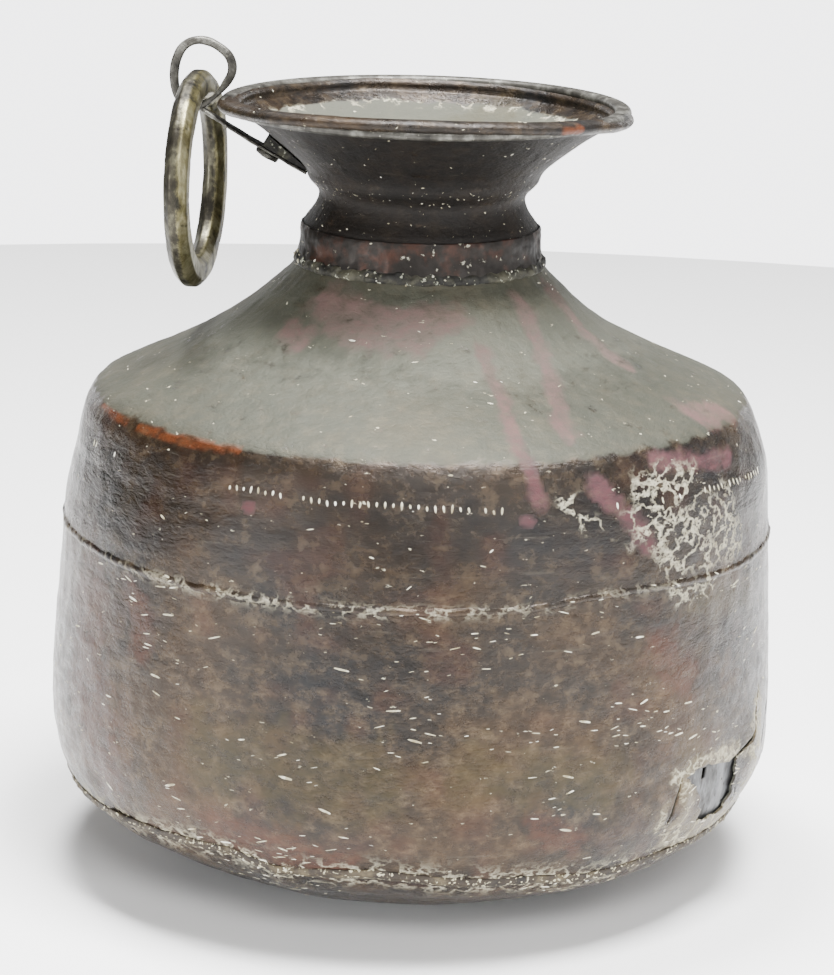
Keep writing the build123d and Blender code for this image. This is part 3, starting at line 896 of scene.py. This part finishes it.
def grain(tree, where, size_mm, stretch=(1, 1, 1), detail=4.0, roughness=0.6):
    """Noise whose lumps are about size_mm across, squashed by stretch."""
    placed = node(tree, "ShaderNodeMapping", {"Vector": where, "Scale": stretch})
    sizes = {"Vector": placed, "Scale": 1000 / size_mm / 2, "Detail": detail, "Roughness": roughness}
    return node(tree, "ShaderNodeTexNoise", sizes, out="Fac")


def copper_sheet():
    made, tree, shader = new_material("Hammered copper, old brown patina with lime")
    where = node(tree, "ShaderNodeTexCoord", out="Object")
    mottle = grain(tree, where, 4.6, (1, 1, 1.3), 8, 0.74)
    broad = grain(tree, where, 38, (1, 1, 1.3), 4, 0.6)
    broken = grain(tree, where, 5, (1, 1, 1.8), 8, 0.72)
    streaks = grain(tree, where, 26, (1, 1, 13), 6, 0.7)
    fine = grain(tree, where, 1.6, (1, 1, 1.5), 5, 0.7)
    flecks = grain(tree, where, 3.4, (1, 1, 2.6), 5, 0.62)
    base_stops = [(0.38, "#040302"), (0.47, "#1b150f"), (0.54, "#32281d"), (0.66, "#574a38")]
    base = node(tree, "ShaderNodeValToRGB", {0: mottle}, stops=base_stops)
    warm_stops = [(0.34, "#1f2022"), (0.5, "#2b231b"), (0.66, "#43301a")]
    warm = node(tree, "ShaderNodeValToRGB", {0: broad}, stops=warm_stops)
    skin = node(tree, "ShaderNodeMix", {0: 0.45, 6: base, 7: warm}, data_type="RGBA", out=2)
    patchy = node(tree, "ShaderNodeMapRange", {0: broken, 1: 0.32, 2: 0.68, 3: 0.25, 4: 1.6})
    layers = [
        ("shoulder", "#4d4f43", 0.56, 0.1, 0.6),
        ("dark", "#0a0807", 0.82, 0.1, 0.6),
        ("inside", "#54554a", 0.75, 0.1, 0.6),
        # Painted light: pale paint on the cone under the collar, standing in for light that the rim keeps
        # off it.
        ("cone_painted_light", "#66675c", 0.42, 0.1, 0.7),
        ("sooty", "#100d0b", 0.62, 0.1, 0.8),
        ("red", "#49281a", 0.55, 0.0, 1.3),
        ("olive", "#3c3316", 0.42, 0.0, 1.3),
        ("pink", "#68343d", 0.38, 0.0, 1.3),
        ("bare", "#7c4020", 0.45, 0.0, 0.9),
        ("torn", "#665b43", 0.62, 0.1, 1.0),
    ]
    masks = {}
    for name, code, strength, low, high in layers:
        masks[name] = soft_mask(tree, name, patchy, low, high)
        amount = node(tree, "ShaderNodeMath", {0: masks[name], 1: strength}, operation="MULTIPLY")
        skin = node(tree, "ShaderNodeMix", {0: amount, 6: skin, 7: colour(code)}, data_type="RGBA", out=2)
    scratch = node(tree, "ShaderNodeMapRange", {0: streaks, 1: 0.62, 2: 0.75, 3: 0.0, 4: 0.22})
    skin = node(tree, "ShaderNodeMix", {0: scratch, 6: skin, 7: colour("#6b665a")}, data_type="RGBA", out=2)
    specks = node(tree, "ShaderNodeMapRange", {0: flecks, 1: 0.685, 2: 0.70})
    crust = node(tree, "ShaderNodeAttribute", attribute_name="lime", out="Fac")
    for name in ("seam", "torn"):
        crusted = node(tree, "ShaderNodeAttribute", attribute_name=name, out="Fac")
        crust = node(tree, "ShaderNodeMath", {0: crust, 1: crusted}, operation="MAXIMUM")
    veins = grain(tree, where, 6.5, (1, 1, 1.3), 6, 0.6)
    ridge = node(tree, "ShaderNodeMath", {0: veins, 1: 0.5}, operation="SUBTRACT")
    ridge = node(tree, "ShaderNodeMath", {0: ridge}, operation="ABSOLUTE")
    ridge = node(tree, "ShaderNodeMapRange", {0: ridge, 1: 0.0, 2: 0.045, 3: 1.0, 4: 0.0})
    crust = node(tree, "ShaderNodeMath", {0: crust, 1: ridge}, operation="MULTIPLY")
    white = node(tree, "ShaderNodeMath", {0: crust, 1: specks}, operation="MAXIMUM")
    white = node(tree, "ShaderNodeMath", {0: white, 1: 0.85}, operation="MULTIPLY", use_clamp=True)
    lime_stops = [(0.3, "#8b8164"), (0.6, "#c9c4ad")]
    lime_tint = node(tree, "ShaderNodeValToRGB", {0: fine}, stops=lime_stops)
    skin = node(tree, "ShaderNodeMix", {0: white, 6: skin, 7: lime_tint}, data_type="RGBA", out=2)
    dulled = node(tree, "ShaderNodeMath", {0: masks["pink"], 1: white}, operation="MAXIMUM")
    dulled = node(tree, "ShaderNodeMath", {0: dulled, 1: masks["inside"]}, operation="MAXIMUM")
    metal = node(tree, "ShaderNodeMapRange", {0: dulled, 3: 0.45, 4: 0.0})
    gloss = node(tree, "ShaderNodeMapRange", {0: broken, 1: 0.3, 2: 0.7, 3: 0.17, 4: 0.42})
    dry = node(tree, "ShaderNodeMath", {0: masks["shoulder"], 1: masks["dark"]}, operation="MAXIMUM")
    polished = node(tree, "ShaderNodeMath", {0: masks["sooty"], 1: 0.8}, operation="MULTIPLY")
    gloss = node(tree, "ShaderNodeMix", {0: polished, 2: gloss, 3: 0.15}, data_type="FLOAT")
    gloss = node(tree, "ShaderNodeMix", {0: dry, 2: gloss, 3: 0.62}, data_type="FLOAT")
    gloss = node(tree, "ShaderNodeMix", {0: dulled, 2: gloss, 3: 0.85}, data_type="FLOAT")
    creases = node(tree, "ShaderNodeMapping", {"Vector": where, "Scale": (1, 1, 1.5)})
    plates = {"Vector": creases, "Scale": 1 / (CREASE * MM)}
    creases = node(tree, "ShaderNodeTexVoronoi", plates, feature="DISTANCE_TO_EDGE")
    creases = node(tree, "ShaderNodeMapRange", {0: creases, 1: 0.0, 2: 0.2, 3: 0.0, 4: 0.12})
    relief = node(tree, "ShaderNodeMath", {0: broken, 1: 1.5}, operation="MULTIPLY")
    relief = node(tree, "ShaderNodeMath", {0: relief, 1: creases}, operation="ADD")
    lines = node(tree, "ShaderNodeMath", {0: streaks, 1: 0.35}, operation="MULTIPLY")
    relief = node(tree, "ShaderNodeMath", {0: lines, 1: relief}, operation="ADD")
    relief = node(tree, "ShaderNodeMath", {0: white, 1: relief}, operation="ADD")
    bump = node(tree, "ShaderNodeBump", {"Height": relief, "Strength": 0.7, "Distance": 0.0007})
    shader.inputs["Specular IOR Level"].default_value = 0.4
    tree.links.new(skin, shader.inputs["Base Color"])
    tree.links.new(metal, shader.inputs["Metallic"])
    tree.links.new(gloss, shader.inputs["Roughness"])
    tree.links.new(bump, shader.inputs["Normal"])
    return made


copper = copper_sheet()
print(copper.name, len(copper.node_tree.nodes), "nodes")


# %% [markdown]
# ## The smaller metals
# The ring is cast brass: dark on roughly the half of its band away from the pot and golden
# on the half toward it. The hanger is forged iron, black scale rubbed grey. Solder and
# brazing metal are dull and crusted, the patch is tinned sheet gone grey, and the collar is
# a band of copper, near-black with rust in it. All but the ring share one recipe: a ramp over
# coarse grain, a fine grain for gloss and relief, and a crust that stops being metal.

# %% Brass, iron, solder and spelter
def worn_metal(name, stops, size_mm, metallic, rough, bump_mm, stretch, crust):
    made, tree, shader = new_material(name)
    where = node(tree, "ShaderNodeTexCoord", out="Object")
    patches = grain(tree, where, size_mm, stretch, 7, 0.68)
    fine = grain(tree, where, size_mm / 5, stretch, 4, 0.6)
    skin = node(tree, "ShaderNodeValToRGB", {0: patches}, stops=stops)
    level = node(tree, "ShaderNodeMapRange", {0: fine, 1: crust[0], 2: crust[0] + 0.04})
    skin = node(tree, "ShaderNodeMix", {0: level, 6: skin, 7: colour(crust[1])}, data_type="RGBA", out=2)
    dull = node(tree, "ShaderNodeMapRange", {0: level, 3: metallic, 4: 0.1})
    tree.links.new(dull, shader.inputs["Metallic"])
    gloss = node(tree, "ShaderNodeMapRange", {0: fine, 1: 0.3, 2: 0.7, 3: rough[0], 4: rough[1]})
    tree.links.new(gloss, shader.inputs["Roughness"])
    tree.links.new(skin, shader.inputs["Base Color"])
    bump = node(tree, "ShaderNodeBump", {"Height": fine, "Strength": 0.7, "Distance": bump_mm * MM})
    tree.links.new(bump, shader.inputs["Normal"])
    return made


WORN = [
    (
        "Forged iron, rubbed dark scale", [(0.3, "#191816"), (0.5, "#44423d"), (0.7, "#7d7c75")],
        5, 0.6, (0.35, 0.6), 0.3, (1, 1, 1), (0.66, "#8e8c80"),
    ),
    (
        "Brazing brass, dull with lime", [(0.3, "#17120e"), (0.5, "#2f261b"), (0.65, "#544a36")],
        5, 0.3, (0.5, 0.8), 0.5, (1, 1, 1), (0.58, "#b5ae93"),
    ),
    (
        "Soft solder, weathered and crusted",
        [(0.3, "#100f0d"), (0.45, "#22211d"), (0.6, "#464437"), (0.75, "#6b6958")],
        7, 0.4, (0.5, 0.85), 0.6, (1, 1, 1), (0.61, "#9b9c8b"),
    ),
    (
        "Tinned sheet, dull grey",
        [(0.36, "#1d1b1a"), (0.46, "#454545"), (0.55, "#646567"), (0.7, "#7f8080")],
        6, 0.3, (0.4, 0.7), 0.3, (1, 1, 0.4), (0.62, "#2f2a25"),
    ),
    (
        "Copper band, near-black with rust",
        [(0.3, "#0d0b09"), (0.5, "#1d1814"), (0.62, "#3a2218"), (0.75, "#443630")],
        11, 0.6, (0.4, 0.65), 0.4, (1, 1, 1), (0.66, "#8f8c7d"),
    ),
]
iron, spelter, solder, tin, collar_copper = (worn_metal(*recipe) for recipe in WORN)
print([finish.name for finish in (iron, spelter, solder, tin, collar_copper)])


def ring_brass():
    made, tree, shader = new_material("Cast brass, dark patina, golden on one half")
    where = node(tree, "ShaderNodeTexCoord", out="Object")
    across = node(tree, "ShaderNodeAttribute", attribute_name="across", out="Fac")
    pit = node(tree, "ShaderNodeAttribute", attribute_name="pit", out="Fac")
    patches = grain(tree, where, 6, (1, 1, 0.6), 7, 0.72)
    fine = grain(tree, where, 1.2, (1, 1, 1), 4, 0.6)
    dark_stops = [(0.32, "#161511"), (0.48, "#3c3930"), (0.62, "#6b6856")]
    dark = node(tree, "ShaderNodeValToRGB", {0: patches}, stops=dark_stops)
    gold_stops = [(0.34, "#282519"), (0.46, "#605a3c"), (0.62, "#8c876a")]
    gold = node(tree, "ShaderNodeValToRGB", {0: patches}, stops=gold_stops)
    # The brass is golden on roughly the half of the band toward the pot and dark on the other half, chosen
    # by position across the band.
    side = node(tree, "ShaderNodeMath", {0: across, 1: patches}, operation="ADD")
    rubbed = node(tree, "ShaderNodeMapRange", {0: side, 1: 1.04, 2: 1.16})
    skin = node(tree, "ShaderNodeMix", {0: rubbed, 6: dark, 7: gold}, data_type="RGBA", out=2)
    skin = node(tree, "ShaderNodeMix", {0: pit, 6: skin, 7: colour("#1c1814")}, data_type="RGBA", out=2)
    gloss = node(tree, "ShaderNodeMapRange", {0: patches, 1: 0.3, 2: 0.7, 3: 0.5, 4: 0.32})
    bump = node(tree, "ShaderNodeBump", {"Height": fine, "Strength": 0.6, "Distance": 0.0003})
    shader.inputs["Metallic"].default_value = 0.8
    tree.links.new(skin, shader.inputs["Base Color"])
    tree.links.new(gloss, shader.inputs["Roughness"])
    tree.links.new(bump, shader.inputs["Normal"])
    return made


brass = ring_brass()
print(brass.name, len(brass.node_tree.nodes), "nodes")

# %% [markdown]
# ## Lime flecks and crust grains
# Hundreds of small white flecks stick to the wall, most of them drawn out sideways where
# water dried, and crust grains sit along the seams. Geometry Nodes scatter them on the
# finished sheets by the painted fleck map. Lime is chalk: pale, dull and not a metal.

# %% A tree that scatters grains on a sheet
def new_tree(name, sockets):
    tree = bpy.data.node_groups.new(name, "GeometryNodeTree")
    tree.interface.new_socket("Geometry", in_out="INPUT", socket_type="NodeSocketGeometry")
    for label, kind in sockets:
        tree.interface.new_socket(label, in_out="INPUT", socket_type="NodeSocket" + kind)
    tree.interface.new_socket("Geometry", in_out="OUTPUT", socket_type="NodeSocketGeometry")
    return tree, node(tree, "NodeGroupInput").node.outputs


def flecks_tree():
    tree, given = new_tree(
        "grains on a sheet",
        [
            ("Density", "Float"), ("Length", "Float"), ("Width", "Float"), ("Height", "Float"),
            ("Tilt", "Float"), ("Seed", "Int"), ("Finish", "Material")
        ]
    )
    chance = node(tree, "GeometryNodeInputNamedAttribute", {"Name": "fleck"}, data_type="FLOAT")
    density = node(tree, "ShaderNodeMath", {0: chance, 1: given["Density"]}, operation="MULTIPLY")
    spread = node(
        tree, "GeometryNodeDistributePointsOnFaces",
        {"Mesh": given["Geometry"], "Density": density, "Seed": given["Seed"]}
    )
    facing = spread.node.outputs["Normal"]
    sideways = node(tree, "ShaderNodeVectorMath", {0: facing, 1: (0, 0, 1)}, operation="CROSS_PRODUCT")
    stand = node(tree, "FunctionNodeAlignRotationToVector", {"Vector": facing}, axis="Z")
    lie = node(
        tree, "FunctionNodeAlignRotationToVector", {"Rotation": stand, "Vector": sideways}, axis="X",
        pivot_axis="Z"
    )
    less = node(tree, "ShaderNodeMath", {0: given["Tilt"], 1: -1.0}, operation="MULTIPLY")
    tilt = node(
        tree, "FunctionNodeRandomValue", {2: less, 3: given["Tilt"], 8: 3}, data_type="FLOAT", out=1
    )
    twist = node(tree, "ShaderNodeCombineXYZ", {"Z": tilt})
    turned = node(
        tree, "FunctionNodeRotateRotation", {"Rotation": lie, "Rotate By": twist}, rotation_space="LOCAL"
    )
    luck = node(tree, "FunctionNodeRandomValue", {2: 0.0, 3: 1.0, 8: 7}, data_type="FLOAT", out=1)
    few_big = node(tree, "ShaderNodeMath", {0: luck, 1: 2.4}, operation="POWER")
    size = node(tree, "ShaderNodeMapRange", {0: few_big, 3: 0.24, 4: 1.0})
    slim = node(tree, "FunctionNodeRandomValue", {2: 0.5, 3: 1.3, 8: 9}, data_type="FLOAT", out=1)
    long = node(tree, "ShaderNodeMath", {0: given["Length"], 1: size}, operation="MULTIPLY")
    wide = node(tree, "ShaderNodeMath", {0: given["Width"], 1: size}, operation="MULTIPLY")
    wide = node(tree, "ShaderNodeMath", {0: wide, 1: slim}, operation="MULTIPLY")
    scale = node(tree, "ShaderNodeCombineXYZ", {"X": long, "Y": wide, "Z": given["Height"]})
    lump = node(tree, "GeometryNodeMeshIcoSphere", {"Radius": 0.5, "Subdivisions": 1})
    placed = node(
        tree, "GeometryNodeInstanceOnPoints",
        {"Points": spread, "Instance": lump, "Rotation": turned, "Scale": scale}
    )
    solid = node(tree, "GeometryNodeRealizeInstances", {0: placed})
    painted_on = node(tree, "GeometryNodeSetMaterial", {"Geometry": solid, "Material": given["Finish"]})
    node(tree, "NodeGroupOutput", {"Geometry": painted_on})
    return tree


def grown(tree, source, name, **inputs):
    """Runs a tree on a mesh and returns its result as a plain piece."""
    holder = bpy.data.objects.new("holder", source)
    bpy.context.scene.collection.objects.link(holder)
    run = holder.modifiers.new("grow", "NODES")
    run.node_group = tree
    for socket in tree.interface.items_tree:
        if socket.in_out == "INPUT" and socket.name in inputs:
            run[socket.identifier] = inputs[socket.name]
    bpy.context.view_layer.update()
    mesh = bpy.data.meshes.new_from_object(holder.evaluated_get(bpy.context.evaluated_depsgraph_get()))
    bpy.data.objects.remove(holder)
    piece = bpy.data.objects.new(name, mesh)
    bpy.context.scene.collection.objects.link(piece)
    print(name, len(mesh.polygons), "faces")
    return piece


lime, lime_nodes, lime_shader = new_material("Lime scale, chalky white")
lime_where = node(lime_nodes, "ShaderNodeTexCoord", out="Object")
lime_grain = grain(lime_nodes, lime_where, 3)
lime_stops = [(0.35, "#857b5f"), (0.5, "#b5b09a"), (0.65, "#dedbcf")]
lime_skin = node(lime_nodes, "ShaderNodeValToRGB", {0: lime_grain}, stops=lime_stops)
lime_nodes.links.new(lime_skin, lime_shader.inputs["Base Color"])
lime_shader.inputs["Roughness"].default_value = 0.9

scatter = flecks_tree()
GROWTHS = [
    ("lower_wall_flecks", lower, 30000, (8.5, 1.25, 0.34), 0.35, 11),
    ("upper_body_flecks", upper, 15000, (4.2, 1.0, 0.26), 0.8, 12),
    ("base_dish_flecks", dish, 20000, (8.0, 1.6, 0.35), 0.5, 13),
    ("mouth_flecks", mouth, 30000, (1.9, 0.7, 0.25), 1.2, 14),
    ("collar_flecks", bands["neck_collar_band"], 20000, (2.0, 0.9, 0.4), 1.5, 15),
    ("collar_crust", bands["collar_solder_run"], 90000, (3.6, 2.6, 1.8), 3.1, 16),
    ("base_seam_crust", bands["base_braze_welt"], 30000, (6.0, 2.0, 0.9), 1.2, 17),
    ("waist_seam_crust", bands["waist_braze_welt"], 26000, (4.4, 1.2, 0.5), 0.5, 18),
]
growths = []
for name, piece, density, size, tilt, seed in GROWTHS:
    sizes = {"Length": size[0] * MM, "Width": size[1] * MM, "Height": size[2] * MM, "Density": density}
    growths.append(grown(scatter, piece.data, name, Tilt=tilt, Seed=seed, Finish=lime, **sizes))

# %% [markdown]
# ## Punched ticks
# The coppersmith struck a row of small ticks round the upper body. Lime has filled them,
# and at the front and right they still show. A ray from outside finds each tick's place
# and facing on the finished sheet, and a second tree stands a small nick there.

# %% A tree that sets the punched ticks
TICKS = [
    (-180, 216), (-100, 219), (-40, 220.5), (-23.8, 221), (-13, 219.7), (0, 220), (12.4, 218), (51, 215.4),
    (63.5, 214), (72.4, 212), (120, 213), (180, 216)
]
TICK_PITCH, TICK_RADIUS, RAY_FROM = 3.8, 169, 185
SHOWN_AT = [-34, -26, -16, -13, 13, 16, 48, 52, 73, 76]
SHOWN_SHARE = [0.1, 0.5, 0.5, 0.92, 0.92, 0.1, 0.1, 0.9, 0.9, 0.1]


def tick_places():
    """Points on the upper body's face, one for each punched tick, with the gaps left open."""
    count = int(2 * pi * TICK_RADIUS / TICK_PITCH)
    az = np.linspace(-180, 180, count, endpoint=False)
    luck = np.random.default_rng(4).uniform(0, 1, (count, 2))
    kept = luck[:, 0] < np.interp(az, SHOWN_AT, SHOWN_SHARE)
    az = az[kept]
    z = along(TICKS, az) + luck[kept, 1] * 0.8
    a = np.radians(az)
    corners, faces = [v.co for v in upper.data.vertices], [p.vertices for p in upper.data.polygons]
    near = BVHTree.FromPolygons(corners, faces)
    spots, facing = [], []
    for x, y, height in zip(RAY_FROM * np.sin(a), -RAY_FROM * np.cos(a), z):
        hit, normal, _, _ = near.ray_cast(Vector((x, y, height)) * MM, Vector((-x, -y, 0)).normalized())
        if hit is not None:
            spots.append(hit)
            facing.append(normal)
    return spots, facing


def ticks_tree():
    tree, given = new_tree(
        "punched ticks",
        [("Tall", "Float"), ("Wide", "Float"), ("Proud", "Float"), ("Seed", "Int"), ("Finish", "Material")]
    )
    out = node(tree, "GeometryNodeInputNamedAttribute", {"Name": "out"}, data_type="FLOAT_VECTOR")
    face_out = node(tree, "FunctionNodeAlignRotationToVector", {"Vector": out}, axis="X")
    upright = node(
        tree, "FunctionNodeAlignRotationToVector", {"Rotation": face_out, "Vector": (0, 0, 1)}, axis="Z",
        pivot_axis="X"
    )
    lean = node(
        tree, "FunctionNodeRandomValue", {2: -0.15, 3: 0.25, 8: given["Seed"]}, data_type="FLOAT", out=1
    )
    twist = node(tree, "ShaderNodeCombineXYZ", {"X": lean})
    turned = node(
        tree, "FunctionNodeRotateRotation", {"Rotation": upright, "Rotate By": twist},
        rotation_space="LOCAL"
    )
    luck = node(tree, "FunctionNodeRandomValue", {2: 0.45, 3: 1.1, 8: 5}, data_type="FLOAT", out=1)
    tall = node(tree, "ShaderNodeMath", {0: given["Tall"], 1: luck}, operation="MULTIPLY")
    size = node(tree, "ShaderNodeCombineXYZ", {"X": given["Proud"], "Y": given["Wide"], "Z": tall})
    nick = node(tree, "GeometryNodeMeshIcoSphere", {"Radius": 0.5, "Subdivisions": 1})
    placed = node(
        tree, "GeometryNodeInstanceOnPoints",
        {"Points": given["Geometry"], "Instance": nick, "Rotation": turned, "Scale": size}
    )
    solid = node(tree, "GeometryNodeRealizeInstances", {0: placed})
    painted_on = node(tree, "GeometryNodeSetMaterial", {"Geometry": solid, "Material": given["Finish"]})
    node(tree, "NodeGroupOutput", {"Geometry": painted_on})
    return tree


spots, facing = tick_places()
places = bpy.data.meshes.new("tick places")
places.from_pydata(spots, [], [])
places.attributes.new("out", "FLOAT_VECTOR", "POINT").data.foreach_set(
    "vector", np.array(facing, np.float32).ravel()
)
tick_size = {"Tall": 3.9 * MM, "Wide": 1.25 * MM, "Proud": 0.5 * MM}
growths.append(grown(ticks_tree(), places, "punched_ticks", Seed=2, Finish=lime, **tick_size))

# %% [markdown]
# ## Giving each piece its body, its metal and the node it stands for
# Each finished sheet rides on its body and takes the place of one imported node. The hoop in
# the rim, the strap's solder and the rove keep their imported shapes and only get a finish.

# %% Finish and fasten the pieces
FINISH = [
    (dish, copper, "base_dish", "hammered_copper"),
    (lower, copper, "lower_wall", "hammered_copper"),
    (upper, copper, "upper_body", "hammered_copper"),
    (mouth, copper, "mouth_flare", "dark_copper"),
    (bands["neck_collar_band"], collar_copper, "neck_collar", "dark_copper"),
    (bands["collar_solder_run"], solder, "collar_solder", "solder_crust"),
    (bands["waist_braze_welt"], copper, "waist_braze", "spelter"),
    (bands["base_braze_welt"], spelter, "base_braze", "spelter"),
    (hanger, iron, "hanger_strap", "wrought_iron"),
    (rivet, iron, "strap_rivet", "wrought_iron"),
    (ring, brass, "carrying_ring", "ring_brass"),
    (patch, tin, "tear_patch", "tinned_plate"),
]
for piece, finish, stood_for, slot in FINISH:
    piece.data.materials.append(finish)
    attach(piece, "ring" if stood_for == "carrying_ring" else "pot")
    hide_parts(stood_for)
for piece in growths:
    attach(piece, "pot")
for name, finish in (("rim_hoop", iron), ("strap_solder", solder), ("rivet_rove", iron)):
    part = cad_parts[name]
    part.data.materials.clear()
    part.data.materials.append(finish)
print("pieces", len(FINISH))
